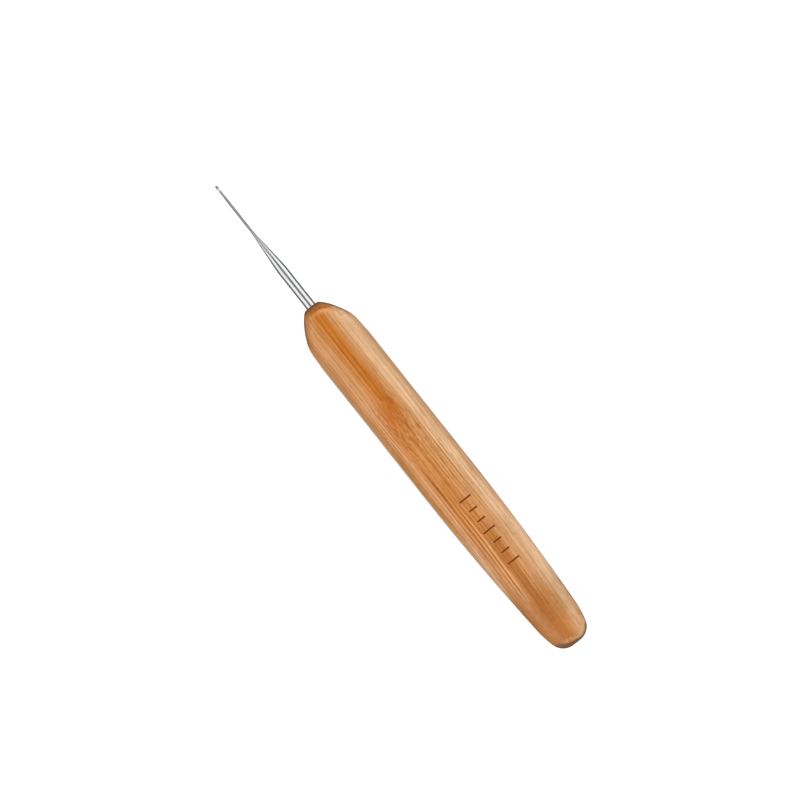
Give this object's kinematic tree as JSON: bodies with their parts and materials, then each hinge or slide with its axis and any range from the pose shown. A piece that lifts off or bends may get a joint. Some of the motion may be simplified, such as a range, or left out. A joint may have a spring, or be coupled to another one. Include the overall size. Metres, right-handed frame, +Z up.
{
  "type": "crochet hook",
  "caption": "Fine steel crochet hook glued into a flattened bamboo handle with rounded edges, a turned nose and a tapering butt.",
  "frame": {"origin": "middle of the tool's length and width, on the plane of the handle's flat underside", "axes": "+X along the tool from the hook's tip to the butt of the handle, +Z up out of the upper flat, the way the throat opens"},
  "size_m": [0.135, 0.014, 0.008],
  "materials": {
    "polished_steel": "polished nickel-plated steel",
    "bamboo": "satin carbonised bamboo with lengthwise fibres",
    "epoxy": "cured amber adhesive"
  },
  "bodies": {
    "root": {"steel_hook": "polished_steel", "bamboo_handle": "bamboo", "adhesive_sleeve": "epoxy"}
  },
  "joints": []
}
